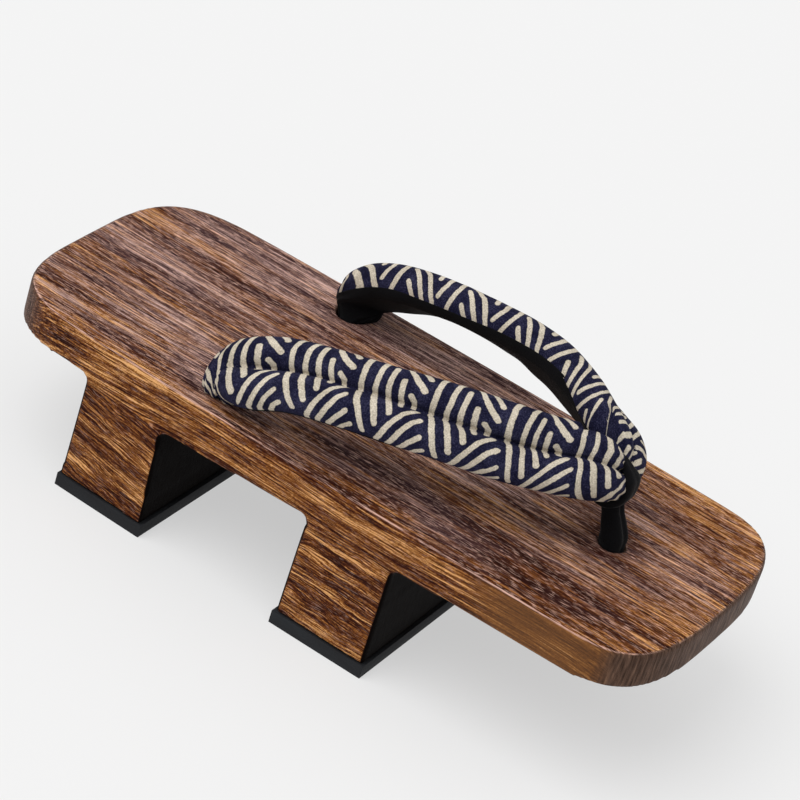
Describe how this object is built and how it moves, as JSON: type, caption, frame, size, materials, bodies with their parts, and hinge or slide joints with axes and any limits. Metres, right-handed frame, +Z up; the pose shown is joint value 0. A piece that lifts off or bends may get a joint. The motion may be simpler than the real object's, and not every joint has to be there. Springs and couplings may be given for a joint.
{
  "type": "geta sandal",
  "caption": "Wooden sandal carved from one block, with crosswise teeth on rubber soles and a padded printed thong strap held at the toe by a black cloth loop.",
  "frame": {"origin": "on the floor, below the middle of the board's length and width", "axes": "+X towards the toe along the board, +Y to the wearer's left, +Z up from the floor"},
  "size_m": [0.2824, 0.1178, 0.1095],
  "materials": {
    "wood": "burnt, brushed along the grain and thinly lacquered",
    "sole_rubber": "matt black",
    "printed_cotton": "coarse cotton, navy with a cream print",
    "black_cloth": "black velvety cloth"
  },
  "bodies": {
    "root": {"board": "wood", "heel_pad": "sole_rubber", "toe_pad": "sole_rubber", "strap": "printed_cotton", "toe_loop": "black_cloth", "knot_toe": "black_cloth", "knot_heel_right": "black_cloth", "knot_heel_left": "black_cloth"}
  },
  "joints": []
}
